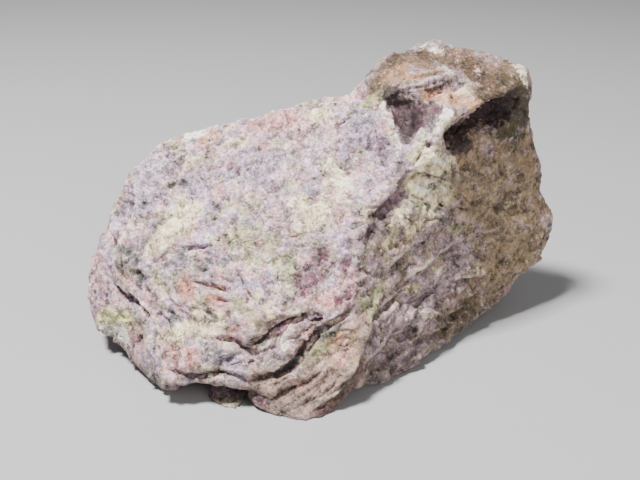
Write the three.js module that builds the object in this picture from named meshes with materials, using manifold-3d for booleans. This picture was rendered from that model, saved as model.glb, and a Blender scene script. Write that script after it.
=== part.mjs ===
// A hand specimen of rhyolite: one broken lump of flow-banded volcanic stone, built as a single solid.
// Millimetres, +Z up. The stone's broad pale face looks to -Y and up, its thin end points to -X and its tall
// end to +X. The origin is at the middle of its box, on the surface that it rests on.
import * as THREE from "three";
import { ConvexGeometry } from "three/addons/geometries/ConvexGeometry.js";
import { ConvexHull } from "three/addons/math/ConvexHull.js";
import { ImprovedNoise } from "three/addons/math/ImprovedNoise.js";
import { TessellateModifier } from "three/addons/modifiers/TessellateModifier.js";
import { mergeVertices } from "three/addons/utils/BufferGeometryUtils.js";
import Module from "manifold-3d";

const wasm = await Module();
wasm.setup();

// Driving dimensions.
const LONGEST_EDGE = 4.7; // longest triangle edge of the finished surface
const BAND_NORMAL = new THREE.Vector3(-0.1, -0.76, 0.64).normalize(); // across the flow banding
const HEART = new THREE.Vector3(5, 15, 30); // every corner below is in plain sight of this inner point
const FLOOR = 0; // height of the surface under the stone
const WEAR = 0.7; // what wear takes off the corners
const LUMPS = { size: 17, reach: 1.5 }; // the coarse roughness of the broken faces
const CHIPS = { size: 7, reach: 0.8 }; // the fine roughness on top of it
const LEDGES = { spacing: 7.5, height: 1.4, waviness: 0.8, waveSize: 19 }; // spacing is across the banding
const CALM_HEIGHT = 8; // roughness in height fades out below this, so that the stone stands firmly
const OVERSHOOT = 2.5; // how far a cleft's cutter reaches out of the stone

// Corners of the broken form, as [x, y, z], grouped by the face or edge that they shape.
const CORNERS = {
  // The broad face is a banding plane that dips to the front at 50 degrees. This is its upper rim.
  broadRim: [
    [-51, 14, 42.5], [-46.5, 18, 47], [-41, 22, 52], [-35, 23, 53.5], [-29, 24, 56.5], [-23.5, 24, 58],
    [-18, 24, 58.5], [-13, 24, 60], [-7.5, 24, 60.5], [-1.5, 24, 62.5], [6.5, 24, 64.5], [10.5, 26, 68],
  ],
  broadFace: [
    [-5, 13, 51], [-19.5, 10, 46.5], [-35, 10, 41], [7.5, 13, 53.5], [-4.5, 1, 39], [-19, -1, 35.5],
    [-34, -1, 31], [2.5, 5, 43.5], [12.5, 8, 47.5], [-9.5, -9, 26], [-23.5, -11, 21.5],
    [-33.5, -10, 18.5], [-44, 3, 33.5], [1, -5, 31.5], [-28, -15.5, 14.5], [-32.5, -15.5, 12.5],
    [13, 17, 59.5], [17.5, 10.5, 53.5],
  ],
  // The sharp ridge between the broad face and the steep flank, and the foot of the low scarp beside it.
  ridge: [
    [20.5, 8, 49.4], [17, 4.7, 44.6], [14.5, 2.6, 42], [12, 0.6, 39.2], [9.5, -2.4, 35.4],
    [9.5, -6, 30.5], [9, -8.5, 26.5], [6.5, -10.8, 23.8], [4.4, -13, 21.8],
  ],
  scarpFoot: [[22, 8.6, 45.5], [19.2, 5.8, 41], [14.9, 2.4, 36.2], [11.8, -0.8, 32.2], [11.2, -4, 28]],
  // The edge of the top sheet across the lower part of the broad face, and the next sheet below it.
  topSheetEdge: [
    [-1.4, -12, 23.8], [-6.1, -12, 23], [-11.5, -13.5, 20.4], [-14.7, -15.1, 18.1], [-16.8, -16.1, 16.5],
    [-21.1, -14.8, 17.4],
  ],
  secondSheet: [
    [-1.4, -11.6, 21.5], [-5.7, -11.6, 20.5], [-10.9, -13.1, 18], [-14.1, -14.6, 15.5], [-16.5, -15.9, 14],
  ],
  // Lower lip of the second sheet. It overhangs the toe and, farther along, the hollow at the front.
  lip: [
    [4.2, -12.5, 19.9], [1.2, -13.4, 18.6], [-0.7, -14.8, 16.6], [-2.8, -16.1, 14.7], [-4.9, -17.6, 12.6],
    [-6.8, -18.7, 11.1], [-9.3, -19.2, 10.1], [-14.7, -20.2, 8.6], [-18.7, -20.2, 7.9],
    [-24.1, -19.4, 8.1], [-29.1, -19.3, 7.7], [-33.6, -18.3, 7.8], [-36.2, -18.8, 5.6],
  ],
  // The toe is the third sheet, and it reaches the floor at the front.
  toe: [
    [7.9, -9.6, 22.4], [5.9, -11.6, 20], [2.8, -13, 17.8], [0.8, -14.4, 15.8], [-1.4, -15.8, 13.8],
    [-3.6, -17.2, 11.8], [-6.1, -18.4, 10], [-9, -18.9, 8.6], [-13, -19.1, 7.2], [7, -13, 15.5],
    [2, -17, 10.8], [-2.1, -19.5, 6.9], [-7.5, -20.2, 5.3], [-18, -18.8, 5], [-14.8, -20.5, 3.7],
    [-11.2, -21.6, 3.1], [5, -19, 8.5],
  ],
  toeRim: [
    [-18.8, -18.8, 2.8], [-16.5, -20.6, 1.5], [-12, -22.4, 0.3], [-8.9, -23.6, -0.2], [-4.5, -26.3, -0.8],
    [-1, -25.3, -1], [1.2, -23.8, -0.4], [4.2, -20, 1], [7, -17, 4.5], [9.5, -15, 7.5],
  ],
  toeCrest: [
    [-1.9, -23.4, 2.4], [1.6, -22.4, 3.4], [4.9, -21, 5.5], [8, -19, 8.3], [9.8, -16.9, 11.1],
    [10.4, -14.4, 14.4],
  ],
  thinEndRim: [
    [-50, 4, 28], [-47.5, 0, 23.5], [-44.5, -3, 20.5], [-41, -8, 17], [-38.5, -13, 13], [-37, -16.5, 9.5],
  ],
  notch: [[-53.5, 12, 34.5], [-50.8, 13.5, 31.2], [-53, 16, 38]],
  // The thin end is a rounded lobe.
  lobe: [
    [-58, 14, 27.5], [-60.5, 14, 21.5], [-61.5, 13, 16], [-61, 11, 11.5], [-59, 8, 8], [-56.5, 5, 5],
    [-51, 3, 5.5], [-54.5, 6, 15], [-53.5, 4.5, 10], [-56.5, 9, 22], [-51.5, 5, 20], [-50, 2, 13],
  ],
  thinEndFoot: [
    [-48.5, 0, 5], [-47.5, -3, 2.5], [-44, -8, 1.5], [-38.5, -13, 1], [-45, -3, 10.5], [-42, -9, 7],
    [-39, -15, 4.5],
  ],
  // The flank: a steep rough face across the banding, from the ridge down to the floor.
  flankTop: [
    [22.5, 9, 52], [26.5, 10.5, 47.5], [34, 15.5, 47], [25, 9.8, 42], [32, 15, 41.5], [21.5, 5.5, 36.5],
    [30, 11.5, 36.5], [14.5, 0, 30.5],
  ],
  flank: [
    [13, -6.5, 20], [19.5, -1, 19], [25, 6, 27], [30.5, 9, 14], [33, 14, 33.5], [42, 19, 21.5],
    [47.5, 25, 33], [54.5, 27.5, 29], [43.5, 22, 44], [52, 30, 47], [50, 22, 15.5], [40, 15.5, 10.5],
    [15, -8, 8], [22, -2, 9], [36, 15, 26], [56, 31, 38], [17.5, 0.5, 25],
  ],
  flankBase: [
    [10.5, -11, 0], [16, -9, 0], [20.5, -4, 0], [27.5, 4, 0], [34.5, 10, 0.5], [40.5, 16, 1],
    [46.5, 21, 4.5], [51, 25.5, 9], [55, 29, 11.5], [59, 31, 15],
  ],
  // The tall end: a brow with a top facet, over the flank.
  browFront: [
    [16, 17, 66], [25, 19, 67], [33, 25, 69.5], [41, 26, 66.5], [51.5, 27, 65], [42.5, 20.5, 63.5],
  ],
  browEdge: [[29.5, 12.2, 61], [36, 15.5, 61], [33, 19, 65], [26, 13, 61.5]],
  underBrow: [[33, 13.5, 54.5], [40, 19, 55.5], [47, 24.5, 56.5], [52.5, 28.5, 57.5]],
  veinKnob: [[21.5, 9.5, 55], [28, 9.2, 55.5], [25, 8.2, 51], [30.5, 11.5, 52.5], [18.5, 13.2, 58.5]],
  towerTop: [
    [15.5, 30, 71.5], [19.5, 34, 73.5], [24.5, 37, 75], [28.5, 38, 75.5], [33.5, 38, 74], [38, 38, 74],
    [42, 38, 73], [47.5, 37, 71], [50.5, 36, 70], [54, 33.5, 69.5], [30, 31, 72.5], [40, 31, 70],
    [20, 25, 70.5], [47, 31, 68.5],
  ],
  // The far end, seen edge on from the front.
  farEnd: [
    [54.5, 31.5, 66], [55, 31, 60], [55.5, 32, 54], [57, 33, 48], [60.5, 35, 42], [62.5, 36, 34.5],
    [65, 36, 28], [66, 35, 22], [65.5, 34, 18], [60.5, 32, 14.2],
  ],
  // The back: three rough rows from the rim down to the floor.
  backHigh: [
    [-44, 27, 44], [-32, 31, 47], [-16, 34, 49], [0, 35, 54], [12, 38, 60], [27, 44, 62], [41, 46, 60],
    [54, 42, 56],
  ],
  backMiddle: [
    [-55, 22, 30], [-49, 32, 28], [-32, 40, 30], [-12, 43, 32], [8, 45, 35], [26, 49, 38], [44, 50, 36],
    [58, 45, 34], [65, 41, 24],
  ],
  backLow: [
    [-59, 20, 16], [-52, 32, 12], [-34, 41, 11], [-12, 46, 13], [10, 48, 12], [30, 49, 11], [48, 46, 12],
    [60, 40, 14],
  ],
  backBase: [
    [-53, 16, 4], [-46, 28, 1], [-30, 36, 0], [-10, 41, -0.5], [10, 43, 1], [30, 43, 0], [45, 39, -0.5],
    [54, 33, 4],
  ],
  // The underside is uneven, and the stone stands on its low places.
  underside: [
    [-38, 2, 4], [-38, 16, 1.5], [-22, -4, 3], [-8, -12, 1.5], [-20, 24, 0.2], [2, 8, 4], [6, -8, 2.5],
    [20, 14, 2.5], [38, 26, 1], [2, 28, 2.5], [24, 32, 1.2], [-28, -15, 2], [-14, -16, 2], [12, 20, 3.5],
    [-20, 10, 3],
  ],
};

// Clefts: open cracks under the edges of the sheets and beside the thin end. Each is cut along a line on the
// surface, opens the way that "opens" points, and narrows to nothing at its root and at both its ends.
const CLEFTS = [
  { // under the second sheet, where it overhangs the toe
    line: [
      [8, -9.1, 24.2], [5.1, -10.4, 22], [2.4, -11.5, 20.2], [-0.4, -12.4, 18.8], [-2.3, -13.7, 16.8],
      [-4.4, -15, 14.9], [-6.4, -16.4, 12.8], [-8.1, -17.4, 11.3], [-10.6, -18.1, 10.2], [-15, -19, 9.2],
      [-20, -19.2, 8.5],
    ],
    opens: [0.55, -0.6, -0.55], gape: 2.2, depth: 4.5,
  },
  { // under the top sheet, across the lower part of the broad face
    line: [
      [0.5, -11.6, 22.1], [-3.5, -11.6, 21.9], [-8, -12.2, 20.1], [-12.5, -13.8, 17.3],
      [-16.3, -15.7, 14.8], [-20.5, -14.8, 16.1], [-25, -14, 16.9],
    ],
    opens: [0.45, -0.6, -0.66], gape: 2, depth: 3,
  },
  { // along the foot of the scarp beside the ridge
    line: [
      [21.5, 8.8, 49.4], [19.8, 7.6, 46.8], [16.7, 5, 43.4], [13.8, 2.4, 40.2], [11.4, 0, 37.2],
      [10.2, -3, 33.6],
    ],
    opens: [0.8, -0.6, -0.1], gape: 2.8, depth: 1.5,
  },
  { // the crease under the front edge of the tall end
    line: [
      [14, 19, 64.6], [17.7, 18, 65.2], [22, 17.8, 65.6], [26, 18.9, 66.1], [30, 21.5, 67.2],
      [34.5, 24.2, 68.2], [37.5, 26.5, 68.9],
    ],
    opens: [0, -0.68, -0.73], gape: 2, depth: 3,
  },
  { // between two sheets of the toe
    line: [
      [-19, -18.8, 5], [-14.8, -20.6, 3.5], [-11.2, -21.6, 3.1], [-7.7, -20.4, 5.1], [-2, -19.6, 6.8],
    ],
    opens: [-0.2, -0.8, -0.55], gape: 1.3, depth: 2.4,
  },
  { // between the thin end and the body
    line: [
      [-53.5, 7.4, 25.2], [-52.6, 5.1, 21.6], [-51, 3, 19.4], [-48.3, 0.3, 18.6], [-45.7, -2.4, 18.4],
      [-43.8, -4.4, 17.7],
    ],
    opens: [-0.5, -0.8, -0.33], gape: 2, depth: 4,
  },
];

// Spalls: places where a flake has come off. Each is the convex hull of its points, taken out of the stone.
const SPALLS = [
  [ // under the brow, above the flank
    [29, 8.8, 59], [57, 23.5, 65.5], [31, 6.8, 49], [55.5, 25.5, 57.5], [29.5, 18.5, 56],
    [43, 30, 59.5], [51, 30.5, 62], [37.8, 16.4, 63.6], [43.3, 20, 65.2], [50, 22.5, 66],
  ],
  [ // the three-sided pocket at the top of the broad face, below the front edge of the tall end
    [16.3, 19.5, 63.5], [28.6, 18.3, 64.4], [22.1, 11, 56], [15.5, 6, 75.6], [27.5, 5, 75.8],
    [21, -2, 67],
  ],
  [ // the hollow under the front lip
    [-39, -27, 10], [-14, -27, 6.5], [-34, -10, 3.5], [-18, -11.5, 3], [-34, -10, -4], [-18, -11.5, -4],
    [-39, -27, -4], [-14, -27, -4],
  ],
];

// The small foot that stands in the front hollow, as the convex hull of its points.
const FOOT = [
  [-27.5, -17, -1], [-23, -21.5, -1], [-17.5, -20.5, -1], [-17.5, -10, -1], [-27, -10, -1],
  [-22.5, -19.3, 0.7], [-18.5, -18.5, 0.9], [-26.3, -16.5, 0.7], [-19, -9, 2.4], [-26, -9, 2.4],
];

const noise = new ImprovedNoise();

function noiseAt(point, size, shift) {
  return noise.noise(point.x / size + shift, point.y / size + 2 * shift, point.z / size - shift);
}

// Three uncorrelated noises, as a push in any direction.
function roughness(point, { size, reach }) {
  return new THREE.Vector3(noiseAt(point, size, 3.1), noiseAt(point, size, 7.7), noiseAt(point, size, 12.9))
    .multiplyScalar(reach);
}

const vectors = (points) => points.map((point) => new THREE.Vector3(...point));

function solidOf(geometry) {
  const bare = geometry.clone();
  bare.deleteAttribute("normal");
  bare.deleteAttribute("uv");
  const merged = mergeVertices(bare, 1e-4);
  return new wasm.Manifold(new wasm.Mesh({
    numProp: 3,
    vertProperties: new Float32Array(merged.attributes.position.array),
    triVerts: new Uint32Array(merged.index.array),
  }));
}

function geometryOf(solid) {
  const mesh = solid.getMesh();
  return new THREE.BufferGeometry()
    .setAttribute("position", new THREE.BufferAttribute(new Float32Array(mesh.vertProperties), 3))
    .setIndex(new THREE.BufferAttribute(new Uint32Array(mesh.triVerts), 1));
}

const hullOf = (points) => solidOf(new ConvexGeometry(points));

// The closed skin through all corners. Seen from the heart they form a sphere, whose hull says which three
// corners share a face.
function skinThrough(corners) {
  const cornerBySight = new Map(corners.map((corner) => [corner.clone().sub(HEART).normalize(), corner]));
  const positions = [];
  for (const face of new ConvexHull().setFromPoints([...cornerBySight.keys()]).faces) {
    for (let edge = face.edge, side = 0; side < 3; edge = edge.next, side++) {
      positions.push(...cornerBySight.get(edge.head().point).toArray());
    }
  }
  return new THREE.BufferGeometry().setAttribute("position", new THREE.Float32BufferAttribute(positions, 3));
}

// A wedge-shaped cutter along a line: a chain of hulls between its triangular sections.
function cleftCutter({ line, opens, gape, depth }) {
  const stations = vectors(line);
  const outward = new THREE.Vector3(...opens).normalize();
  const sections = stations.map((mouth, i) => {
    const before = stations[Math.max(i - 1, 0)];
    const after = stations[Math.min(i + 1, stations.length - 1)];
    const across = after.clone().sub(before).cross(outward).normalize();
    const fullness = Math.sin(Math.PI * (i + 0.3) / (stations.length - 0.4)) ** 0.6;
    const rim = mouth.clone().addScaledVector(outward, OVERSHOOT);
    const spread = fullness * gape * (depth + OVERSHOOT) / depth / 2;
    return [
      mouth.clone().addScaledVector(outward, -fullness * depth),
      rim.clone().addScaledVector(across, spread),
      rim.clone().addScaledVector(across, -spread),
    ];
  });
  return sections.slice(1).map((section, i) => hullOf([...sections[i], ...section]))
    .reduce((chain, link) => chain.add(link));
}

// Splits edges until none is longer than LONGEST_EDGE.
function refined(geometry) {
  return mergeVertices(new TessellateModifier(LONGEST_EDGE, 20).modify(geometry), 1e-3);
}

// Wears the edges down: each point moves half way to the middle of its neighbours.
function worn(geometry) {
  const { position } = geometry.attributes;
  const neighbours = Array.from({ length: position.count }, () => new Set());
  const points = neighbours.map((_, v) => new THREE.Vector3().fromBufferAttribute(position, v));
  const triangles = geometry.index.array;
  triangles.forEach((vertex, k) => {
    const next = triangles[k % 3 === 2 ? k - 2 : k + 1];
    neighbours[vertex].add(next);
    neighbours[next].add(vertex);
  });
  neighbours.forEach((near, v) => {
    const middle = new THREE.Vector3();
    near.forEach((n) => middle.addScaledVector(points[n], 1 / near.size));
    position.setXYZ(v, ...middle.lerp(points[v], 0.5));
  });
  return geometry;
}

// The push that a place gets when the stone breaks. It depends on the place alone, so thin sheets and clefts
// keep their thickness. Faces that cut the banding get its ledges as well.
function breakage(point) {
  const outward = point.clone().sub(HEART).normalize();
  const wave = LEDGES.waviness * noiseAt(point, LEDGES.waveSize, 5.3);
  const bands = point.dot(BAND_NORMAL) / LEDGES.spacing + wave;
  const ledge = LEDGES.height * (Math.abs(2 * (bands - Math.floor(bands)) - 1) - 0.5);
  const cutsBanding = 1 - outward.dot(BAND_NORMAL) ** 2;
  const push = roughness(point, LUMPS).add(roughness(point, CHIPS));
  push.addScaledVector(outward, ledge * cutsBanding);
  push.z *= THREE.MathUtils.smoothstep(point.z, FLOOR, CALM_HEIGHT);
  return push;
}

function broken(geometry) {
  const { position } = geometry.attributes;
  for (let v = 0; v < position.count; v++) {
    const point = new THREE.Vector3().fromBufferAttribute(position, v);
    position.setXYZ(v, ...point.add(breakage(point)));
  }
  return geometry;
}

const corners = vectors(Object.values(CORNERS).flat());
for (const corner of corners) {
  corner.addScaledVector(corner.clone().sub(HEART).normalize(), WEAR);
}
let body = solidOf(worn(refined(skinThrough(corners))));
for (const points of SPALLS) {
  body = body.subtract(hullOf(vectors(points)));
}
body = body.add(hullOf(vectors(FOOT)));
for (const cleft of CLEFTS) {
  body = body.subtract(cleftCutter(cleft));
}
body = solidOf(broken(refined(geometryOf(body))));

// What would reach below the floor is taken off flat, and the stone stands on what is left.
const ground = new THREE.BoxGeometry(200, 200, 20).translate(0, 0, FLOOR - 10);
body = body.subtract(solidOf(ground));

const material = new THREE.MeshStandardMaterial({ color: 0xa8989c, roughness: 0.9, metalness: 0 });
const stone = new THREE.Mesh(geometryOf(body), material);
stone.name = "stone";

// The origin goes to the middle of the stone's box, on the floor.
const middle = new THREE.Box3().setFromObject(stone).getCenter(new THREE.Vector3());
stone.position.set(-middle.x, -middle.y, -FLOOR);

const specimen = new THREE.Group();
specimen.add(stone);
export default specimen;
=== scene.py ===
"""A broken lump of flow-banded rhyolite, dressed for its picture. Metres, +Z up."""

import math

import bmesh
import bpy
import numpy as np
from mathutils import Euler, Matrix, Vector, kdtree, noise
from mathutils.bvhtree import BVHTree


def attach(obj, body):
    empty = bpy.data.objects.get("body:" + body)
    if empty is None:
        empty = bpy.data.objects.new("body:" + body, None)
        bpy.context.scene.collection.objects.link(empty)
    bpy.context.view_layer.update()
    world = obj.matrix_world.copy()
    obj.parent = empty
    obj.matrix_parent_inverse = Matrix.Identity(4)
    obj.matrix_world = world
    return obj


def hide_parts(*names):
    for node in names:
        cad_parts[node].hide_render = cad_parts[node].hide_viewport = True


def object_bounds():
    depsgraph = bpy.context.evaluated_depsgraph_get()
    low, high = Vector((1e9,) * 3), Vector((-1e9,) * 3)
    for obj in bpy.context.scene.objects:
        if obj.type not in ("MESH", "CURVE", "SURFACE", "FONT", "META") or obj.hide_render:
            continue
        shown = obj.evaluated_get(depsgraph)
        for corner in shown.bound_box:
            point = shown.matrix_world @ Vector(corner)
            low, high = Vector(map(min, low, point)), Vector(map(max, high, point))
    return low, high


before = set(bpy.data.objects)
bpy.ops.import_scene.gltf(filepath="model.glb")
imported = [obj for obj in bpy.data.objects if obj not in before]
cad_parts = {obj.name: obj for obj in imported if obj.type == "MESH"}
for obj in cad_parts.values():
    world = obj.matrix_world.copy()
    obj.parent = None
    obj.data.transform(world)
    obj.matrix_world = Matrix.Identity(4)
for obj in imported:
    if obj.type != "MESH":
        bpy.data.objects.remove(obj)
cad_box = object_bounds()

MM = 0.001

# The camera, and the size of its picture in pixels.
CAMERA_PLACE = Vector((-2.251, -209.330, 122.448)) * MM
CAMERA_TURN = Euler((math.radians(66), 0, 0))
LENS = 50
SENSOR = 36
PICTURE = (640, 480)

# The skin of the stone.
SKIN_STEP = 0.42 * MM
SKIN_FACES = 190_000
WELD = 0.002 * MM

# How squarely the ground has to face a direction: not at all below the first value, fully above the second.
FACES_ASIDE = 0.72
FACES_IT = 0.92

# How many rounds of easing each job takes.
FIRST_EASING = 4
PUSH_EASING = 3
GROUND_EASING = 60
THINNED_GROUND_EASING = 40
HOLLOW_EASING = 14

# The banding dips to the front. The flank is broken across it, in slanting ridges.
BAND_NORMAL = Vector((-0.100, -0.760, 0.640)).normalized()
FLANK_NORMAL = Vector((0.684, -0.707, 0.179)).normalized()
RIDGE_LINE = Vector((0.58, 0.43, 0.39))
RIDGE_LINE = (RIDGE_LINE - FLANK_NORMAL * RIDGE_LINE.dot(FLANK_NORMAL)).normalized()
SLAB_NORMAL = (0.75 * FLANK_NORMAL + 0.66 * FLANK_NORMAL.cross(RIDGE_LINE)).normalized()
SHINGLE_FALL = RIDGE_LINE.cross(FLANK_NORMAL)

# Hairline cracks: pixels along each, its width and its depth.
CRACKS = [
    ([(180, 248), (188, 250), (196, 248), (213, 245)], 0.75 * MM, 1.4 * MM),
    ([(195, 282), (206, 285), (218, 287), (226, 290), (233, 290)], 0.85 * MM, 1.8 * MM),
    ([(213, 298), (221, 300), (228, 302)], 0.85 * MM, 1.6 * MM),
    ([(236, 282), (246, 293), (258, 303)], 0.40 * MM, 0.7 * MM),
    ([(196, 250), (214, 256), (226, 262), (234, 272)], 0.40 * MM, 0.6 * MM),
    ([(340, 125), (346, 120), (352, 117)], 0.50 * MM, 1.0 * MM),
    ([(320, 165), (327, 163), (327, 152), (327, 144)], 0.40 * MM, 0.6 * MM),
    ([(303, 167), (310, 166)], 0.40 * MM, 0.6 * MM),
    ([(410, 178), (418, 175), (425, 175), (437, 178)], 0.70 * MM, 1.8 * MM),
    ([(361, 206), (370, 207), (378, 208)], 0.45 * MM, 1.0 * MM),
    ([(386, 225), (392, 223)], 0.50 * MM, 0.9 * MM),
    ([(437, 202), (441, 205), (447, 207)], 0.50 * MM, 1.0 * MM),
    ([(465, 244), (472, 240), (480, 236), (490, 232)], 0.60 * MM, 1.0 * MM),
    ([(284, 238), (296, 236), (306, 233)], 0.40 * MM, 0.7 * MM),
    ([(190, 330), (200, 338), (214, 340), (228, 346)], 0.40 * MM, 0.7 * MM),
    ([(168, 296), (176, 304), (186, 308)], 0.40 * MM, 0.7 * MM),
    ([(322, 371), (314, 378), (304, 385)], 0.65 * MM, 1.1 * MM),
    ([(348, 380), (340, 388), (332, 394)], 0.60 * MM, 1.0 * MM),
    ([(306, 402), (320, 397), (332, 388), (340, 376)], 0.55 * MM, 0.9 * MM),
    ([(322, 407), (334, 400), (346, 389), (354, 376)], 0.55 * MM, 0.9 * MM),
    ([(268, 386), (280, 383), (290, 376)], 0.50 * MM, 0.7 * MM),
    ([(328, 358), (338, 350), (346, 338)], 0.45 * MM, 0.7 * MM),
    ([(330, 352), (320, 362), (310, 368)], 0.40 * MM, 0.6 * MM),
    ([(300, 398), (310, 391), (318, 384)], 0.40 * MM, 0.6 * MM),
    ([(424, 148), (420, 156), (412, 166)], 0.55 * MM, 0.9 * MM),
    ([(416, 196), (424, 202), (430, 210)], 0.55 * MM, 0.9 * MM),
    ([(436, 190), (440, 198), (438, 208)], 0.50 * MM, 0.8 * MM),
    ([(446, 212), (456, 208), (468, 210)], 0.55 * MM, 0.9 * MM),
    ([(424, 222), (436, 218), (446, 222)], 0.50 * MM, 0.8 * MM),
    ([(402, 214), (410, 220), (414, 230)], 0.50 * MM, 0.8 * MM),
    ([(462, 122), (456, 132), (450, 136)], 0.60 * MM, 0.8 * MM),
]

# Painted shade in the clefts of the solid: pixels along each, and its width.
CLEFT_SHADE = [
    ([(222, 340), (232, 342), (243, 348), (251, 348), (262, 340), (272, 329), (280, 323), (290, 318),
      (300, 315), (310, 314), (320, 317)], 0.8 * MM),
    ([(242, 381), (255, 380), (265, 378), (275, 374), (285, 370), (292, 364), (299, 355), (303, 346),
      (308, 338), (316, 330), (325, 326), (334, 321), (342, 316), (350, 308), (355, 303)], 1.2 * MM),
    ([(252, 395), (262, 397), (271, 400), (280, 394), (290, 388), (310, 382)], 0.5 * MM),
    ([(107, 267), (112, 280), (118, 290), (127, 298), (135, 301)], 0.9 * MM),
    ([(385, 101), (398, 95), (412, 92), (428, 91), (440, 86), (452, 80)], 1.0 * MM),
]


def gap_width(under):
    """How wide the gap under a sheet is, by how deep it goes."""
    return 0.35 * MM + 0.30 * under


# Edges of thin broken sheets: the ground on the right of each walk along the pixels is lower.
# Each has the drop, how far the lower ground takes to come up again, and how deep the sheet is undercut.
LEDGES = [
    # around the hollow of the second sheet
    ([(212, 366), (222, 358), (235, 353), (248, 353)], 0.6 * MM, 3.0 * MM, 0.5 * MM),
    ([(255, 354), (264, 349), (277, 343), (287, 338), (297, 336), (306, 329)], 0.7 * MM, 2.4 * MM, 0.4 * MM),
    ([(324, 316), (312, 326), (301, 337), (293, 349)], 0.8 * MM, 2.6 * MM, 0.6 * MM),
    ([(226, 367), (236, 362), (250, 361), (262, 357)], 0.5 * MM, 2.0 * MM, 0.4 * MM),
    # the lip of that sheet
    ([(172, 370), (180, 373), (188, 375), (198, 375), (210, 373), (222, 372), (234, 375), (246, 380)],
     1.4 * MM, 3.0 * MM, 1.8 * MM),
    # the sheets of the toe
    ([(284, 411), (298, 406), (308, 399), (316, 390), (322, 381), (332, 370)], 0.5 * MM, 3.0 * MM, 0.3 * MM),
    ([(314, 409), (324, 405), (334, 399), (342, 391), (351, 379), (359, 365), (364, 350)],
     1.3 * MM, 3.5 * MM, 0.2 * MM),
    # the thin end, where the top sheet stops
    ([(184, 141), (187, 154), (182, 168), (175, 183), (166, 196)], 0.8 * MM, 7.0 * MM, 0.25 * MM),
    ([(131, 182), (134, 196), (132, 212), (127, 228), (119, 242), (113, 258), (111, 270), (116, 283),
      (124, 289), (131, 293), (137, 298), (146, 310), (154, 321), (158, 332), (163, 344), (168, 356)],
     1.6 * MM, 6.0 * MM, 0.9 * MM),
    ([(113, 277), (118, 284), (124, 288), (130, 291), (136, 296)], 0.6 * MM, 2.5 * MM, 0.6 * MM),
    # slanting edges on the flank
    ([(364, 366), (380, 346), (396, 336), (414, 322)], 1.2 * MM, 3.5 * MM, 0.6 * MM),
    ([(418, 316), (426, 312), (438, 315)], 0.9 * MM, 2.5 * MM, 0.4 * MM),
    ([(448, 316), (458, 310), (468, 308)], 0.9 * MM, 2.5 * MM, 0.4 * MM),
    ([(449, 283), (460, 279), (472, 277), (487, 276)], 1.2 * MM, 3.0 * MM, 0.9 * MM),
    ([(458, 300), (470, 294), (480, 288)], 0.9 * MM, 2.5 * MM, 0.4 * MM),
    ([(400, 288), (412, 276), (426, 268), (440, 256), (452, 246), (464, 239)], 1.0 * MM, 4.0 * MM, 0.4 * MM),
    ([(384, 276), (394, 262), (404, 252), (414, 246)], 0.9 * MM, 3.0 * MM, 0.4 * MM),
    ([(440, 262), (450, 256), (462, 254), (470, 250)], 0.8 * MM, 2.5 * MM, 0.4 * MM),
    ([(466, 246), (478, 240), (490, 234), (502, 230)], 0.8 * MM, 2.5 * MM, 0.4 * MM),
    ([(378, 312), (390, 300), (398, 292)], 0.9 * MM, 2.5 * MM, 0.4 * MM),
    ([(408, 346), (420, 338), (432, 334), (446, 326)], 0.9 * MM, 2.5 * MM, 0.4 * MM),
    # the seam down the broad face, and the ground beside the ridge
    ([(222, 246), (228, 255), (237, 270), (245, 288), (259, 305)], -0.6 * MM, 3.0 * MM, 0.6 * MM),
    ([(336, 262), (330, 272), (326, 282), (322, 292)], 0.6 * MM, 2.5 * MM, 0.4 * MM),
    ([(352, 262), (346, 272), (343, 284), (336, 296)], 0.6 * MM, 2.5 * MM, 0.4 * MM),
    ([(296, 262), (301, 274), (300, 286), (304, 294)], 0.5 * MM, 2.5 * MM, 0.4 * MM),
    # the tall end: laminae under its top, and the white veins beside the pocket
    ([(396, 92), (410, 88), (420, 87), (430, 85), (442, 80), (450, 74)], 0.6 * MM, 1.6 * MM, 0.6 * MM),
    ([(412, 78), (424, 75), (438, 72), (448, 72)], 0.5 * MM, 1.6 * MM, 0.4 * MM),
    ([(452, 160), (456, 172), (452, 184)], 0.8 * MM, 2.5 * MM, 0.3 * MM),
]

# Pixels along the brow at the tall end, which is jagged within this reach.
BROW = [(444, 137), (455, 122), (478, 110), (508, 95), (518, 90)]
BROW_REACH = 7 * MM

# Pixels along the middle of the toe, which is a plainer slab within this reach.
TOE = [(264, 384), (290, 392), (318, 386), (340, 366), (350, 342)]
TOE_REACH = 11 * MM

# Small holes: the pixel at the middle, the radius and the depth.
PITS = [
    ((430, 83), 1.0 * MM, 1.2 * MM), ((436, 82), 0.9 * MM, 1.2 * MM), ((429, 145), 1.0 * MM, 1.6 * MM),
    ((448, 153), 0.7 * MM, 1.0 * MM), ((386, 99), 1.0 * MM, 1.2 * MM), ((160, 222), 0.9 * MM, 0.7 * MM),
    ((174, 184), 0.9 * MM, 0.7 * MM), ((184, 182), 0.8 * MM, 0.6 * MM), ((136, 262), 1.1 * MM, 0.8 * MM),
    ((140, 272), 1.0 * MM, 0.8 * MM), ((121, 266), 0.9 * MM, 0.7 * MM), ((276, 316), 0.9 * MM, 0.4 * MM),
    ((150, 292), 0.8 * MM, 0.6 * MM), ((172, 314), 0.8 * MM, 0.6 * MM), ((198, 262), 0.7 * MM, 0.5 * MM),
]


# ---------------------------------------------------------------- where a pixel falls

CAMERA_AXES = CAMERA_TURN.to_matrix()
FOCUS = LENS / SENSOR * PICTURE[0]
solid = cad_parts["stone"].data
surface = BVHTree.FromPolygons([v.co for v in solid.vertices], [p.vertices for p in solid.polygons])

# How far a walk sways to each side, and how long a sway is, in pixels.
SWAY = 0.8
SWAY_LENGTH = 5


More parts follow.
